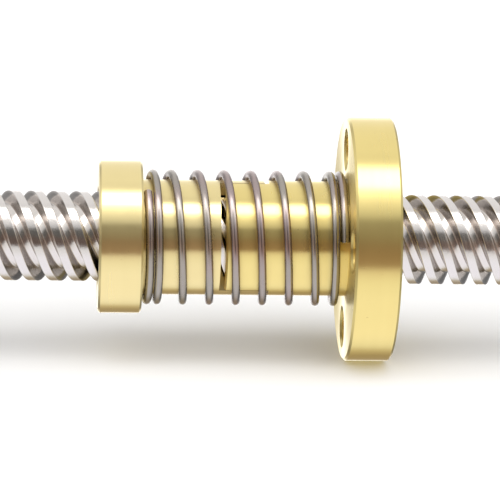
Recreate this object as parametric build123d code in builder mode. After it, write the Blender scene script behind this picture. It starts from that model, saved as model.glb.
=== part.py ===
from build123d import *
import math
import os

# Four-start lead screw carrying a spring-loaded anti-backlash nut.
#
# Frame: millimetres, +X along the screw, +Z up. The origin is the centre of
# the screw's driven end face. The nut's flange is at the +X end of the nut,
# its floating collar nut at the -X end, and the front is the -Y side.
# Angles about the screw are measured from +Y towards +Z.

# ---------------------------------------------------------------- dimensions

# Screw: trapezoidal thread, four starts, right-hand
screw_length = 100.0
screw_radius = 4.0
root_radius = 2.85
pitch = 2.0
starts = 4
lead = pitch * starts
crest_flat = 0.8
root_flat = 0.7
end_chamfer = 0.8
thread_angle = 15.8  # where the first crest stands at the driven end

# Internal threads: the screw's profile opened out by a running clearance. The
# spring pushes the two nuts apart, so each thread stands nearer the flank on
# its own side, and the collar nut keeps the backlash that it can float in.
radial_clearance = 0.14
flank_clearance = 0.13
preload_shift = 0.05
bore_mouth_radius = 4.5

# Flange of the fixed nut
flange_radius = 10.9
flange_thickness = 4.05
flange_chamfer = 0.2
bolt_circle_radius = 8.0
bolt_hole_radius = 1.75
bolt_count = 4
bolt_angle = -5.0
bolt_hole_chamfer = 0.2

# Collar of the floating nut
collar_radius = 6.8
collar_thickness = 3.84
collar_chamfer = 0.18

# Sleeves of the two nuts, and the tabs that key them together. The tabs meet on
# a lap plane in front of the screw's axis, so the flanged nut's tab is the smaller.
sleeve_radius = 5.12
collar_to_flange = 18.13
shoulder_length = 6.85
front_gap = 0.48
back_gap = 0.35
lap_gap = 0.1
lap_tilt = -15.0
lap_offset = 1.92
tab_chamfer = 0.15

# Compression spring: round wire, right-hand, its end coils closed. Each end
# leans where it rides over its own cut end, and the two lean opposite ways.
wire_radius = 0.37
coil_radius = 5.66
total_turns = 9.13
collar_closed_turns = 1.39
flange_closed_turns = 1.26
closed_pitch = 0.865
ease_turns = 0.32
seat_gap = 0.05
spring_start_angle = 123.5
collar_lean = 0.3
flange_lean = -0.13
lean_angle = 166.0
points_per_turn = 12

# ------------------------------------------------------ stations along the axis

nut_length = collar_thickness + collar_to_flange + flange_thickness
collar_outer = (screw_length - nut_length) / 2
collar_inner = collar_outer + collar_thickness
flange_inner = collar_inner + collar_to_flange
flange_outer = flange_inner + flange_thickness
collar_shoulder = collar_inner + shoulder_length
flange_shoulder = flange_inner - shoulder_length
flanged_tab_tip = collar_shoulder + front_gap
collar_tab_tip = flange_shoulder - back_gap

# ------------------------------------------------------------------ operations


def polar(radius, degrees):
    """Point on a circle about the screw's axis, in a section's own plane."""
    angle = math.radians(degrees)
    return (radius * math.cos(angle), radius * math.sin(angle))


def revolve_about_screw(corners, mode=Mode.ADD):
    """Body of revolution from its (station, radius) corners."""
    with BuildSketch(Plane.XY) as profile:
        with BuildLine():
            Polyline(*corners, close=True)
        make_face()
    revolve(profile.sketch, axis=Axis.X, mode=mode)


def twist_thread(start, end, crest, root, widening, shift, mode=Mode.ADD):
    """Threaded rod between two stations. Its section has a lobe for each start and
    turns once every lead. widening thickens each ridge along the axis, and shift
    moves the whole thread along it."""
    per_start = 360 / starts
    degrees_per_mm = per_start / pitch
    half_crest = degrees_per_mm * (crest_flat + widening) / 2
    half_root = degrees_per_mm * (root_flat - widening) / 2
    first_crest = thread_angle + degrees_per_mm * (start - shift)
    with BuildSketch(Plane.YZ.offset(start)) as section:
        with BuildLine():
            for lobe in range(starts):
                middle = first_crest + per_start * lobe
                valley = middle + per_start / 2
                next_middle = middle + per_start
                CenterArc((0, 0), crest, middle - half_crest, 2 * half_crest)
                Line(polar(crest, middle + half_crest), polar(root, valley - half_root))
                CenterArc((0, 0), root, valley - half_root, 2 * half_root)
                Line(polar(root, valley + half_root), polar(crest, next_middle - half_crest))
        make_face()
    with BuildLine() as axis_line:
        Line((start, 0, 0), (end, 0, 0))
    with BuildLine() as ridge:
        Helix(lead, end - start, crest, center=(start, 0, 0), direction=(1, 0, 0))
    sweep(section.sketch, path=axis_line.line, binormal=ridge.line.edge(), mode=mode)


def cut_nut_thread(start, end, shift):
    """Running thread through a nut, cut clear past both of its ends."""
    twist_thread(
        start - pitch,
        end + pitch,
        screw_radius + radial_clearance,
        root_radius + radial_clearance,
        2 * flank_clearance,
        shift,
        Mode.SUBTRACT,
    )


def cut_bore_mouth(face_station, inward):
    """Countersink that leads into the thread from a nut's end face."""
    depth = bore_mouth_radius - root_radius
    revolve_about_screw(
        [
            (face_station - inward, 0),
            (face_station - inward, bore_mouth_radius + 1),
            (face_station + inward * depth, root_radius),
            (face_station + inward * depth, 0),
        ],
        Mode.SUBTRACT,
    )


def cut_sleeve_to_tab(side):
    """Take away part of a sleeve between the two shoulders, up to the lap plane:
    side +1 is the part behind that plane, and -1 the part in front of it."""
    tilt = math.radians(lap_tilt)
    lap_normal = (0, math.cos(tilt), math.sin(tilt))
    across = 4 * sleeve_radius
    with BuildSketch(Plane((collar_shoulder, 0, 0), x_dir=lap_normal, z_dir=(1, 0, 0))) as part:
        with Locations((side * (across - lap_gap) / 2 - lap_offset, 0)):
            Rectangle(across, across)
    extrude(part.sketch, amount=flange_shoulder - collar_shoulder, mode=Mode.SUBTRACT)


def rim_edges(part, radius):
    """The full circles of one radius on a turned part."""
    circles = part.edges().filter_by(GeomType.CIRCLE)
    return circles.filter_by(lambda edge: abs(edge.radius - radius) < 0.001)


def eased(turns_past):
    """Turns gained by a pitch that changes smoothly, ease_turns wide, at a bend."""
    share = turns_past / ease_turns + 0.5
    if share <= 0:
        return 0.0
    if share >= 1:
        return turns_past
    return ease_turns * (share**3 - share**4 / 2)


def lean(turn):
    """How far the coil leans along the axis at this point of the wire."""
    share = turn / total_turns
    amount = collar_lean * (1 - share) + flange_lean * share
    angle = spring_start_angle + 360 * turn - lean_angle
    return amount * math.cos(math.radians(angle))


def spring_point(turn):
    """Point on the wire's centre line, turn by turn from the collar."""
    first = collar_inner + seat_gap + wire_radius - lean(0)
    last = flange_inner - seat_gap - wire_radius - lean(total_turns)
    open_turns = total_turns - collar_closed_turns - flange_closed_turns
    extra_pitch = (last - first - closed_pitch * total_turns) / open_turns
    opened = eased(turn - collar_closed_turns) - eased(turn - total_turns + flange_closed_turns)
    station = first + closed_pitch * turn + extra_pitch * opened + lean(turn)
    return (station, *polar(coil_radius, spring_start_angle + 360 * turn))


# ------------------------------------------------------------------ lead screw

with BuildPart() as lead_screw:
    twist_thread(0, screw_length, screw_radius, root_radius, 0, 0)
    for face, inward in ((0, 1), (screw_length, -1)):
        beyond = end_chamfer + 1
        revolve_about_screw(
            [
                (face - inward, screw_radius - beyond),
                (face + inward * beyond, screw_radius + 1),
                (face - inward, screw_radius + 1),
            ],
            Mode.SUBTRACT,
        )

# ----------------------------------------------------------------- flanged nut

with BuildPart() as flanged_nut:
    revolve_about_screw(
        [
            (flanged_tab_tip, 0),
            (flanged_tab_tip, sleeve_radius - tab_chamfer),
            (flanged_tab_tip + tab_chamfer, sleeve_radius),
            (flange_inner, sleeve_radius),
            (flange_inner, flange_radius),
            (flange_outer, flange_radius),
            (flange_outer, 0),
        ]
    )
    chamfer(rim_edges(flanged_nut, flange_radius), flange_chamfer)
    with Locations(Plane.YZ.offset(flange_outer)):
        with PolarLocations(bolt_circle_radius, bolt_count, start_angle=bolt_angle):
            Hole(bolt_hole_radius)
    chamfer(rim_edges(flanged_nut, bolt_hole_radius), bolt_hole_chamfer)
    cut_sleeve_to_tab(1)
    cut_nut_thread(flanged_tab_tip, flange_outer, preload_shift)
    cut_bore_mouth(flange_outer, -1)

# ------------------------------------------------------------------ collar nut

with BuildPart() as collar_nut:
    revolve_about_screw(
        [
            (collar_outer, 0),
            (collar_outer, collar_radius),
            (collar_inner, collar_radius),
            (collar_inner, sleeve_radius),
            (collar_tab_tip - tab_chamfer, sleeve_radius),
            (collar_tab_tip, sleeve_radius - tab_chamfer),
            (collar_tab_tip, 0),
        ]
    )
    chamfer(rim_edges(collar_nut, collar_radius), collar_chamfer)
    cut_sleeve_to_tab(-1)
    cut_nut_thread(collar_outer, collar_tab_tip, -preload_shift)
    cut_bore_mouth(collar_outer, 1)

# ---------------------------------------------------------------------- spring

with BuildPart() as spring:
    steps = round(total_turns * points_per_turn)
    with BuildLine() as wire_line:
        Spline(*[spring_point(total_turns * step / steps) for step in range(steps + 1)])
    with BuildLine(mode=Mode.PRIVATE) as coil_axis:
        Line((collar_inner, 0, 0), (flange_inner, 0, 0))
    with BuildSketch(Plane(wire_line.line @ 0, z_dir=wire_line.line % 0)):
        Circle(wire_radius)
    sweep(path=wire_line.line, binormal=coil_axis.line.edge())

# ----------------------------------------------------------------------- files

os.makedirs("parts", exist_ok=True)

lead_screw.part.label = "lead_screw"
export_step(lead_screw.part, "parts/lead_screw.step")

flanged_nut.part.label = "flanged_nut"
export_step(flanged_nut.part, "parts/flanged_nut.step")

collar_nut.part.label = "collar_nut"
export_step(collar_nut.part, "parts/collar_nut.step")

spring.part.label = "spring"
export_step(spring.part, "parts/spring.step")

for piece in (lead_screw, flanged_nut, collar_nut, spring):
    print(f"{piece.part.label}: {piece.part.volume:.1f} mm3, valid {piece.part.is_valid}")
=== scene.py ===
"""Looks for the lead screw and its spring-loaded nut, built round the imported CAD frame."""

import math

import bpy
import numpy as np
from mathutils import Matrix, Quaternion, Vector


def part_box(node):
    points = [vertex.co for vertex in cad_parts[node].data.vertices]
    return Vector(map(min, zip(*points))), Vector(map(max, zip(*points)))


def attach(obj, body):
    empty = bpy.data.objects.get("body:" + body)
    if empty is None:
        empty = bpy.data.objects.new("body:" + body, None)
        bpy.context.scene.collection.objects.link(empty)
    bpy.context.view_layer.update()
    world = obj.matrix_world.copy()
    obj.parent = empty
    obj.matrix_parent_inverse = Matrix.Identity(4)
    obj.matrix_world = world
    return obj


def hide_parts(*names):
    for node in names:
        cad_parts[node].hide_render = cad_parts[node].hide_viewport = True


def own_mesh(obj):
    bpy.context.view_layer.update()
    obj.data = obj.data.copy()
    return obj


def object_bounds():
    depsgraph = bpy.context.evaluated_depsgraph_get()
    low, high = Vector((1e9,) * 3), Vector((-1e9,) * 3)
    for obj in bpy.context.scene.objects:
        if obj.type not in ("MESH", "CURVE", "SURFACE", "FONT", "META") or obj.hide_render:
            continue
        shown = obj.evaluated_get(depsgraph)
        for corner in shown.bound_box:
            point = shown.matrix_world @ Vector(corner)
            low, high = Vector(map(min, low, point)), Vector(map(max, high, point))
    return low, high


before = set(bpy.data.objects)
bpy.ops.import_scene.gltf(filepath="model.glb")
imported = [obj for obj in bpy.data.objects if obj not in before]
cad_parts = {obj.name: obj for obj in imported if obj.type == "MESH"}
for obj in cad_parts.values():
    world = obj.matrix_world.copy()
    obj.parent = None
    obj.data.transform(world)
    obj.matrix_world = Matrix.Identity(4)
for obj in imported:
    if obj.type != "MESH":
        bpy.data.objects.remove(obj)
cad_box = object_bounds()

MM = 0.001
DEG = math.pi / 180

# ---------------------------------------------------------------- where the CAD parts are
COLLAR_THICKNESS = 3.84 * MM
FLANGE_THICKNESS = 4.05 * MM
screw_low, screw_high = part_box("lead_screw")
flanged_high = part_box("flanged_nut")[1]
collar_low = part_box("collar_nut")[0]
collar_face = collar_low.x + COLLAR_THICKNESS
flange_face = flanged_high.x - FLANGE_THICKNESS

# Thread of the screw: four starts, 2 mm pitch, 8 mm lead, trapezoidal.
THREAD_STARTS = 4
THREAD_LEAD = 8 * MM
SCREW_RADIUS = screw_high.z
ROOT_RADIUS = 2.85 * MM
CREST_FLAT = 0.8 * MM
ROOT_FLAT = 0.7 * MM
CREST_ROUNDING = 0.06 * MM
ROOT_ROUNDING = 0.1 * MM
THREAD_ANGLE = 15.8 * DEG
END_CHAMFER = 0.8 * MM
CHAMFER_EDGE = 0.06 * MM
CHAMFER_EDGE_DEPTH = 0.04 * MM
MIDDLE_STATIONS = 760

# Spring: round wire, closed at both ends, seated between the collar and the flange.
WIRE_RADIUS = 0.37 * MM
COIL_RADIUS = 5.66 * MM
TOTAL_TURNS = 9.13
COLLAR_CLOSED_TURNS = 1.39
FLANGE_CLOSED_TURNS = 1.26
CLOSED_PITCH = 0.865 * MM
EASE_TURNS = 0.32
SPRING_START_ANGLE = 123.5 * DEG
COLLAR_LEAN = 0.3 * MM
FLANGE_LEAN = -0.13 * MM
LEAN_ANGLE = 166 * DEG
SEAT_GAP = 0.05 * MM
CUT_ROUNDING = 0.03 * MM
CUT_FACE_SHARE = 0.86
STEPS_PER_TURN = 48
POINTS_ROUND_WIRE = 24

# Camera: a long lens, slightly above the screw and slightly to the left of the nut.
LENS_MM = 219.38
SENSOR_MM = 36.0
CAMERA_DISTANCE = 271.231 * MM
CAMERA_ELEVATION = 13 * DEG
CAMERA_LEFT = 18.389 * MM
AIM_RIGHT = 0.568 * MM
AIM_BELOW = 1.122 * MM
CAMERA_ROLL = 1.521 * DEG

# Studio
FLOOR_HALF_WIDTH = 3.0
FLOOR_LIGHT = 1.09
BACKDROP = 1.05
# The floor's own light: strongest from low in front, weaker overhead, none from behind
LOW_FRONT = 2.3
OVERHEAD = 0.86


# ---------------------------------------------------------------- mesh helpers
def grid_mesh(name, rows, close_ends):
    """A smooth tube-like mesh from rows of points; each row is a closed ring, x forwards."""
    rows = np.asarray(rows, float)
    count, ring, _ = rows.shape
    points = [rows.reshape(-1, 3)]
    here = np.arange(ring)
    after = (here + 1) % ring
    faces = []
    for row in range(count - 1):
        a = row * ring
        b = a + ring
        faces.extend(np.stack([a + here, a + after, b + after, b + here], 1).tolist())
    if close_ends:
        first = count * ring
        points.append(rows[0].mean(axis=0)[None])
        points.append(rows[-1].mean(axis=0)[None])
        last = (count - 1) * ring
        faces.extend(np.stack([here * 0 + first, after, here], 1).tolist())
        faces.extend(np.stack([here * 0 + first + 1, last + here, last + after], 1).tolist())
    mesh = bpy.data.meshes.new(name)
    mesh.from_pydata(np.concatenate(points).tolist(), [], faces)
    mesh.polygons.foreach_set("use_smooth", [True] * len(mesh.polygons))
    mesh.set_sharp_from_angle(angle=35 * DEG)
    mesh.update()
    thing = bpy.data.objects.new(name, mesh)
    bpy.context.scene.collection.objects.link(thing)
    return thing


def rounded_corner(before, corner, after, radius, steps):
    """Points of the arc that rounds a corner between two straight runs."""
    before, corner, after = (np.array(p, float) for p in (before, corner, after))
    back = (before - corner) / np.linalg.norm(before - corner)
    on = (after - corner) / np.linalg.norm(after - corner)
    half = math.acos(float(np.clip(back @ on, -1, 1))) / 2
    middle = back + on
    middle /= np.linalg.norm(middle)
    centre = corner + middle * radius / math.sin(half)
    start = corner + back * radius / math.tan(half) - centre
    end = corner + on * radius / math.tan(half) - centre
    points = []
    for step in range(steps + 1):
        share = step / steps
        spoke = start * (1 - share) + end * share
        points.append(centre + spoke / np.linalg.norm(spoke) * radius)
    return points


# ---------------------------------------------------------------- lead screw
def thread_profile():
    """One pitch of the thread in its axial section, from crest centre to crest centre."""
    pitch = THREAD_LEAD / THREAD_STARTS
    crest = (CREST_FLAT / 2, SCREW_RADIUS)
    root = ((pitch - ROOT_FLAT) / 2, ROOT_RADIUS)
    half = [np.array((share * CREST_FLAT / 2, SCREW_RADIUS)) for share in (0, 0.3, 0.6)]
    half += rounded_corner((0, SCREW_RADIUS), crest, root, CREST_ROUNDING, 4)
    half += [np.array(crest) * (1 - s) + np.array(root) * s for s in (0.3, 0.5, 0.7)]
    half += rounded_corner(crest, root, (pitch / 2, ROOT_RADIUS), ROOT_ROUNDING, 4)
    half += [np.array((pitch / 2, ROOT_RADIUS))]
    mirrored = [np.array((pitch - p[0], p[1])) for p in half[-2:0:-1]]
    return np.array(half + mirrored)


def end_limit(distance):
    """The most radius that the end chamfer leaves at this distance from the end face."""
    softened = CHAMFER_EDGE_DEPTH * max(0.0, 1 - distance / CHAMFER_EDGE) ** 2
    return SCREW_RADIUS - END_CHAMFER + distance - softened


def make_screw():
    """Threaded rod: its profile turned steadily from one end face to the other."""
    length = screw_high.x - screw_low.x
    profile = thread_profile()
    angles = np.concatenate([
        (profile[:, 0] + start * THREAD_LEAD / THREAD_STARTS) / THREAD_LEAD * 2 * math.pi
        for start in range(THREAD_STARTS)
    ])
    radii = np.tile(profile[:, 1], THREAD_STARTS)
    near_end = np.concatenate([
        np.linspace(0, CHAMFER_EDGE, 4)[:-1],
        np.linspace(CHAMFER_EDGE, END_CHAMFER + 0.1 * MM, 14),
    ])
    middle = np.linspace(near_end[-1], length - near_end[-1], MIDDLE_STATIONS)[1:-1]
    stations = np.concatenate([near_end, middle, (length - near_end)[::-1]])
    rows = []
    for x in stations:
        turned = THREAD_ANGLE + x / THREAD_LEAD * 2 * math.pi + angles
        r = np.minimum(radii, end_limit(min(x, length - x)))
        rows.append(np.stack([
            np.full_like(r, screw_low.x + x),
            r * np.cos(turned),
            r * np.sin(turned),
        ], 1))
    faced = [0.25, 0.5, 0.75]
    start_face = [rows[0] * [1, share, share] for share in faced]
    end_face = [rows[-1] * [1, share, share] for share in reversed(faced)]
    return grid_mesh("threaded_rod", start_face + rows + end_face, True)


# ---------------------------------------------------------------- spring
def eased(turns_past):
    """Turns gone past a bend in the pitch, with the bend itself smoothed out."""
    share = turns_past / EASE_TURNS + 0.5
    if share <= 0:
        return 0.0
    if share >= 1:
        return turns_past
    return EASE_TURNS * (share**3 - share**4 / 2)


def lean(turn):
    """How far the coil leans along the axis at this point of the wire."""
    share = turn / TOTAL_TURNS
    amount = COLLAR_LEAN * (1 - share) + FLANGE_LEAN * share
    return amount * math.cos(SPRING_START_ANGLE + 2 * math.pi * turn - LEAN_ANGLE)


def make_spring():
    """Round wire on the same centre line as the CAD spring, with its cut ends dulled."""
    first = collar_face + SEAT_GAP + WIRE_RADIUS - lean(0)
    last = flange_face - SEAT_GAP - WIRE_RADIUS - lean(TOTAL_TURNS)
    open_turns = TOTAL_TURNS - COLLAR_CLOSED_TURNS - FLANGE_CLOSED_TURNS
    extra_pitch = (last - first - CLOSED_PITCH * TOTAL_TURNS) / open_turns
    steps = int(TOTAL_TURNS * STEPS_PER_TURN)
    line = []
    spokes = []
    for step in range(steps + 1):
        turn = TOTAL_TURNS * step / steps
        into_flange_end = turn - TOTAL_TURNS + FLANGE_CLOSED_TURNS
        opened = eased(turn - COLLAR_CLOSED_TURNS) - eased(into_flange_end)
        x = first + CLOSED_PITCH * turn + extra_pitch * opened + lean(turn)
        angle = SPRING_START_ANGLE + 2 * math.pi * turn
        spoke = np.array([0, math.cos(angle), math.sin(angle)])
        line.append(np.array([x, 0, 0]) + spoke * COIL_RADIUS)
        spokes.append(spoke)
    line = np.array(line)
    along = np.gradient(line, axis=0)
    along /= np.linalg.norm(along, axis=1)[:, None]
    around = np.linspace(0, 2 * math.pi, POINTS_ROUND_WIRE, endpoint=False)
    rows = []
    for point, spoke, ahead in zip(line, spokes, along):
        side = np.cross(ahead, spoke)
        ring = np.cos(around)[:, None] * spoke + np.sin(around)[:, None] * side
        rows.append(point + ring * WIRE_RADIUS)
    start = line[0] + (rows[0] - line[0]) * CUT_FACE_SHARE - along[0] * CUT_ROUNDING
    end = line[-1] + (rows[-1] - line[-1]) * CUT_FACE_SHARE + along[-1] * CUT_ROUNDING
    return grid_mesh("wire_spring", [start] + rows + [end], True)


# ---------------------------------------------------------------- material helpers
class Nodes:
    """Short names for making and joining shader nodes."""

    def __init__(self, tree):
        self.tree = tree
        self.tree.nodes.clear()

    def add(self, kind, inputs=None, **settings):
        node = self.tree.nodes.new(kind)
        for key, value in settings.items():
            setattr(node, key, value)
        for key, value in (inputs or {}).items():
            if isinstance(value, bpy.types.NodeSocket):
                self.tree.links.new(value, node.inputs[key])
            else:
                node.inputs[key].default_value = value
        return node

    def math(self, operation, *values):
        inputs = dict(enumerate(values))
        return self.add("ShaderNodeMath", inputs, operation=operation).outputs[0]

    def ramp(self, factor, stops):
        node = self.add("ShaderNodeValToRGB", {"Fac": factor})
        elements = node.color_ramp.elements
        while len(elements) > 1:
            elements.remove(elements[-1])
        elements[0].position = stops[0][0]
        elements[0].color = (*stops[0][1], 1)
        for position, colour in stops[1:]:
            elements.new(position).color = (*colour, 1)
        return node.outputs["Color"]

    def mix(self, factor, a, b):
        node = self.add("ShaderNodeMix", data_type="RGBA", blend_type="MIX")
        for socket, value in ((node.inputs[0], factor), (node.inputs[6], a), (node.inputs[7], b)):
            if isinstance(value, bpy.types.NodeSocket):
                self.tree.links.new(value, socket)
            else:
                socket.default_value = value
        return node.outputs[2]


def new_material(name):
    material = bpy.data.materials.new(name)
    material.use_nodes = True
    return material, Nodes(material.node_tree)


def give(thing, material):
    thing.data.materials.clear()
    thing.data.materials.append(material)


def turned_coordinates(n):
    """Position along the axis, distance from it and angle round it, in the part's own frame."""
    place = n.add("ShaderNodeTexCoord").outputs["Object"]
    split = n.add("ShaderNodeSeparateXYZ", {0: place})
    along, across, up = split.outputs
    radius = n.math("SQRT", n.math("ADD", n.math("MULTIPLY", across, across),
                                   n.math("MULTIPLY", up, up)))
    angle = n.math("ARCTAN2", up, across)
    return place, along, radius, angle


def brass(name, tint, roughness):
    """Turned brass: fine lathe rings that stretch highlights, broad waves and a few pits."""
    material, n = new_material(name)
    place, along, radius, angle = turned_coordinates(n)
    ring = n.add("ShaderNodeCombineXYZ", {0: along, 1: radius, 2: n.math("MULTIPLY", angle, 0.0006)})
    fine = n.add("ShaderNodeTexNoise", {
        "Vector": ring.outputs[0], "Scale": 9000.0, "Detail": 3.0, "Roughness": 0.6})
    broad = n.add("ShaderNodeTexNoise", {
        "Vector": ring.outputs[0], "Scale": 1400.0, "Detail": 2.0, "Roughness": 0.5})
    cloudy = n.add("ShaderNodeTexNoise", {
        "Vector": place, "Scale": 260.0, "Detail": 3.0, "Roughness": 0.5})
    specks = n.add("ShaderNodeTexNoise", {
        "Vector": place, "Scale": 2600.0, "Detail": 2.0, "Roughness": 0.5})
    pitted = n.ramp(specks.outputs["Fac"], [(0.0, (1, 1, 1)), (0.20, (1, 1, 1)), (0.26, (0, 0, 0))])
    colour = n.mix(cloudy.outputs["Fac"],
                   (*[c * 0.95 for c in tint], 1), (*[min(1.0, c * 1.04) for c in tint], 1))
    colour = n.mix(n.math("MULTIPLY", pitted, 0.35), colour, (0.42, 0.27, 0.11, 1))
    rough = n.math("ADD", n.math("MULTIPLY", broad.outputs["Fac"], 0.08),
                   n.math("MULTIPLY", cloudy.outputs["Fac"], 0.06))
    rough = n.math("ADD", rough, roughness - 0.07)
    height = n.math("ADD", n.math("MULTIPLY", fine.outputs["Fac"], 0.5),
                    n.math("MULTIPLY", broad.outputs["Fac"], 0.9))
    height = n.math("ADD", height, n.math("MULTIPLY", cloudy.outputs["Fac"], 2.6))
    height = n.math("SUBTRACT", height, n.math("MULTIPLY", pitted, 1.2))
    bump = n.add("ShaderNodeBump", {"Height": height, "Strength": 1.0, "Distance": 0.000003})
    tangent = n.add("ShaderNodeTangent", direction_type="RADIAL", axis="X")
    shader = n.add("ShaderNodeBsdfPrincipled", {
        "Base Color": colour, "Metallic": 1.0, "Roughness": rough,
        "Anisotropic": 0.93, "Anisotropic Rotation": 0.25,
        "Normal": bump.outputs[0], "Tangent": tangent.outputs[0]})
    n.add("ShaderNodeOutputMaterial", {"Surface": shader.outputs[0]})
    return material


def rolled_steel():
    """Stainless steel with a rolled thread: bright crests and roots, with the flanks darkened as
    painted shade in the grooves.
    """
    material, n = new_material("rolled_stainless")
    place, along, radius, angle = turned_coordinates(n)
    swept = n.math("SUBTRACT", angle, n.math("MULTIPLY", along, 2 * math.pi / THREAD_LEAD))
    lines = n.add("ShaderNodeCombineXYZ", {
        0: n.math("MULTIPLY", n.math("SINE", swept), 0.004),
        1: n.math("MULTIPLY", n.math("COSINE", swept), 0.004),
        2: radius})
    rolled = n.add("ShaderNodeTexNoise", {
        "Vector": lines.outputs[0], "Scale": 5200.0, "Detail": 3.0, "Roughness": 0.6})
    cloudy = n.add("ShaderNodeTexNoise", {
        "Vector": place, "Scale": 500.0, "Detail": 4.0, "Roughness": 0.6})
    grain = n.add("ShaderNodeTexNoise", {
        "Vector": place, "Scale": 5200.0, "Detail": 2.0, "Roughness": 0.6})
    depth = n.add("ShaderNodeMapRange", {
        "Value": radius, "From Min": ROOT_RADIUS, "From Max": SCREW_RADIUS * 0.985})
    # Colour by height in the thread: crests and roots bright, the flanks between them darker, which
    # is painted shade in the grooves.
    steel_with_painted_flank_shade = n.ramp(depth.outputs[0], [(0.0, (0.78, 0.73, 0.69)), (0.08, (0.74, 0.69, 0.65)),
                                     (0.22, (0.43, 0.40, 0.38)), (0.82, (0.45, 0.42, 0.40)),
                                     (0.96, (0.76, 0.72, 0.69)), (1.0, (0.79, 0.75, 0.72))])
    colour = n.mix(n.math("MULTIPLY", cloudy.outputs["Fac"], 0.16), steel_with_painted_flank_shade, (0.62, 0.575, 0.535, 1))
    rough = n.math("ADD", n.math("MULTIPLY", cloudy.outputs["Fac"], 0.14),
                   n.math("MULTIPLY", rolled.outputs["Fac"], 0.08))
    rough = n.math("ADD", rough, 0.07)
    height = n.math("ADD", n.math("MULTIPLY", rolled.outputs["Fac"], 1.2),
                    n.math("MULTIPLY", cloudy.outputs["Fac"], 5.0))
    height = n.math("ADD", height, n.math("MULTIPLY", grain.outputs["Fac"], 0.3))
    bump = n.add("ShaderNodeBump", {"Height": height, "Strength": 1.0, "Distance": 0.000006})
    shader = n.add("ShaderNodeBsdfPrincipled", {
        "Base Color": colour, "Metallic": 1.0, "Roughness": rough, "Normal": bump.outputs[0]})
    n.add("ShaderNodeOutputMaterial", {"Surface": shader.outputs[0]})
    return material


def spring_wire():
    """Drawn spring wire, browned in patches of mauve and grey-green."""
    material, n = new_material("drawn_spring_wire")
    place, along, radius, angle = turned_coordinates(n)
    drawn = n.add("ShaderNodeCombineXYZ", {
        0: along, 1: radius, 2: n.math("MULTIPLY", angle, 0.0002)})
    lines = n.add("ShaderNodeTexNoise", {
        "Vector": drawn.outputs[0], "Scale": 7000.0, "Detail": 2.0, "Roughness": 0.5})
    cloudy = n.add("ShaderNodeTexNoise", {
        "Vector": place, "Scale": 420.0, "Detail": 3.0, "Roughness": 0.6})
    patches = n.add("ShaderNodeTexNoise", {
        "Vector": place, "Scale": 150.0, "Detail": 2.0, "Roughness": 0.5})
    hue = n.ramp(patches.outputs["Fac"], [(0.0, (0.47, 0.375, 0.37)), (0.42, (0.47, 0.375, 0.37)),
                                          (0.58, (0.44, 0.41, 0.365)), (1.0, (0.44, 0.41, 0.365))])
    colour = n.mix(n.math("MULTIPLY", cloudy.outputs["Fac"], 0.6), hue, (0.33, 0.28, 0.255, 1))
    rough = n.math("ADD", n.math("MULTIPLY", cloudy.outputs["Fac"], 0.12), 0.2)
    height = n.math("ADD", lines.outputs["Fac"], n.math("MULTIPLY", cloudy.outputs["Fac"], 1.5))
    bump = n.add("ShaderNodeBump", {"Height": height, "Strength": 1.0, "Distance": 0.000003})
    shader = n.add("ShaderNodeBsdfPrincipled", {
        "Base Color": colour, "Metallic": 1.0, "Roughness": rough, "Normal": bump.outputs[0]})
    n.add("ShaderNodeOutputMaterial", {"Surface": shader.outputs[0]})
    return material


# ---------------------------------------------------------------- studio
def make_floor():
    """Matt white paper under the object, left out of its reflections."""
    low, high = cad_box
    centre = (low + high) / 2
    half = FLOOR_HALF_WIDTH
    corners = [(-half, -half), (half, -half), (half, half), (-half, half)]
    mesh = bpy.data.meshes.new("floor")
    mesh.from_pydata([(centre.x + a, centre.y + b, low.z) for a, b in corners], [], [(0, 1, 2, 3)])
    floor = bpy.data.objects.new("floor", mesh)
    bpy.context.scene.collection.objects.link(floor)
    material, n = new_material("white_paper")
    shader = n.add("ShaderNodeBsdfDiffuse", {"Color": (0.93, 0.925, 0.92, 1)})
    n.add("ShaderNodeOutputMaterial", {"Surface": shader.outputs[0]})
    give(floor, material)
    floor.visible_glossy = False


def round_the_x_axis(n, turn, zones, top):
    """Brightness by a direction's turn about the X axis alone. Each zone is an angle in
    degrees, measured upwards from the front, with its brightness or its colour."""
    share = n.math("ADD", n.math("MULTIPLY", turn, 1 / (2 * math.pi)), 0.5)
    stops = []
    for angle, brightness in zones:
        if isinstance(brightness, float):
            brightness = (brightness, brightness, brightness)
        stops.append(((angle + 180) / 360, [level / top for level in brightness]))
    scaled = n.add("ShaderNodeVectorMath", {0: n.ramp(share, stops), 3: top}, operation="SCALE")
    return scaled.outputs[0]


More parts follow.
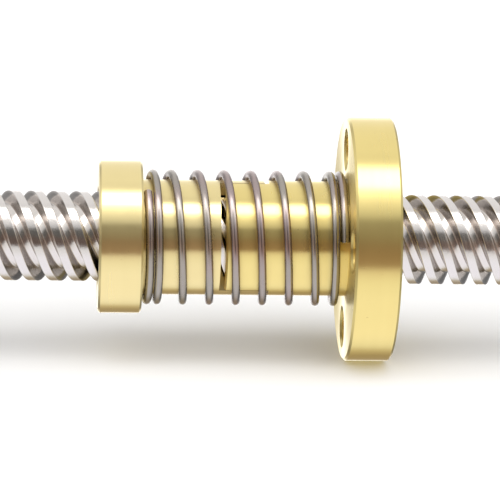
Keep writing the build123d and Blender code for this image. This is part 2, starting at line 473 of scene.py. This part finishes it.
def make_studio():
    """A light tent with a long softbox above the front and a dark gap at the camera.

    The object mirrors the tent, the floor takes softer light for its shadow, and the camera
    sees plain white."""
    world = bpy.data.worlds.new("studio")
    world.use_nodes = True
    bpy.context.scene.world = world
    n = Nodes(world.node_tree)
    direction = n.add("ShaderNodeTexCoord").outputs["Generated"]
    x, y, z = n.add("ShaderNodeSeparateXYZ", {0: direction}).outputs
    turn = n.math("ARCTAN2", z, n.math("MULTIPLY", y, -1.0))
    from_axis = n.math("ABSOLUTE", x)
    white_floor = (1.10, 1.10, 1.17)
    brassy_dark = (0.40, 0.33, 0.23)
    warm_dark = (0.13, 0.095, 0.08)
    cool_dark = (0.11, 0.107, 0.10)
    middle = round_the_x_axis(n, turn, (
        (-180, 1.7), (-157, 1.6), (-150, brassy_dark), (-130, brassy_dark),
        (-118, (0.62, 0.55, 0.42)), (-108, 0.98), (-95, white_floor),
        (-45, white_floor), (-28, 0.98), (-17, 0.85), (-13, warm_dark), (6, warm_dark),
        (14, cool_dark), (30, cool_dark), (34, 0.60), (44, 0.84), (55, 1.0), (60, 1.4),
        (63, 4.0), (80, 4.0), (86, 0.92), (97, 0.80), (103, 0.92), (164, 1.0), (180, 1.7),
    ), 4.0)
    flanks = round_the_x_axis(n, turn, (
        (-180, 0.45), (-155, 0.16), (-132, 0.20), (-116, 0.70), (-95, 1.06), (-30, 1.06),
        (-14, (0.72, 0.52, 0.42)), (5, (0.50, 0.38, 0.31)), (16, (0.60, 0.53, 0.46)),
        (36, 0.72), (50, 1.1), (62, 2.6), (82, 2.6),
        (90, 1.0), (135, 0.85), (158, 0.45), (180, 0.50),
    ), 2.6)
    far_sides = round_the_x_axis(n, turn, (
        (-180, 0.34), (-60, 0.48), (-20, 0.13), (30, 0.13), (70, 0.60), (180, 0.34),
    ), 0.6)
    beside = n.add("ShaderNodeMapRange", {
        "Value": from_axis, "From Min": 0.16, "From Max": 0.40}, interpolation_type="SMOOTHSTEP")
    beyond = n.add("ShaderNodeMapRange", {
        "Value": from_axis, "From Min": 0.74, "From Max": 0.92}, interpolation_type="SMOOTHSTEP")
    mirrored = n.mix(beside.outputs[0], middle, flanks)
    mirrored = n.mix(beyond.outputs[0], mirrored, far_sides)
    falling = round_the_x_axis(n, turn, (
        (-180, 0.0), (0, 0.0), (30, LOW_FRONT), (45, LOW_FRONT), (70, OVERHEAD),
        (115, OVERHEAD), (150, 0.0), (180, 0.0),
    ), LOW_FRONT)
    rays = n.add("ShaderNodeLightPath").outputs
    reflected = n.add("ShaderNodeBackground", {"Color": mirrored, "Strength": 1.0})
    soft_light = n.add("ShaderNodeBackground", {"Color": falling, "Strength": FLOOR_LIGHT})
    plain = n.add("ShaderNodeBackground", {"Color": (1, 1, 1, 1), "Strength": BACKDROP})
    lit = n.add("ShaderNodeMixShader", {
        0: rays["Is Diffuse Ray"], 1: reflected.outputs[0], 2: soft_light.outputs[0]})
    shown = n.add("ShaderNodeMixShader", {
        0: rays["Is Camera Ray"], 1: lit.outputs[0], 2: plain.outputs[0]})
    n.add("ShaderNodeOutputWorld", {"Surface": shown.outputs[0]})


def make_camera():
    """The viewpoint, placed from the middle of the nut."""
    nut_middle = (collar_low.x + flanged_high.x) / 2
    lens = bpy.data.cameras.new("camera")
    lens.sensor_width = SENSOR_MM
    lens.lens = LENS_MM
    lens.clip_start = 0.01
    lens.clip_end = 20.0
    camera = bpy.data.objects.new("camera", lens)
    bpy.context.scene.collection.objects.link(camera)
    back = CAMERA_DISTANCE * math.cos(CAMERA_ELEVATION)
    up = CAMERA_DISTANCE * math.sin(CAMERA_ELEVATION)
    camera.location = (nut_middle - CAMERA_LEFT, -back, up)
    aim = Vector((nut_middle + AIM_RIGHT, 0, -AIM_BELOW))
    look = (aim - camera.location).to_track_quat("-Z", "Y")
    camera.rotation_mode = "QUATERNION"
    camera.rotation_quaternion = look @ Quaternion((0, 0, 1), CAMERA_ROLL)
    bpy.context.scene.camera = camera


# ---------------------------------------------------------------- putting it together
make_camera()
make_studio()
make_floor()
bpy.context.scene.view_settings.view_transform = "Standard"

screw = make_screw()
give(screw, rolled_steel())
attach(screw, "screw")
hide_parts("lead_screw")

spring = make_spring()
give(spring, spring_wire())
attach(spring, "nut_spring")
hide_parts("spring")
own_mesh(spring)

give(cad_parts["flanged_nut"], brass("flanged_nut_brass", (0.94, 0.765, 0.305), 0.29))
give(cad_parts["collar_nut"], brass("collar_nut_brass", (0.94, 0.785, 0.39), 0.29))
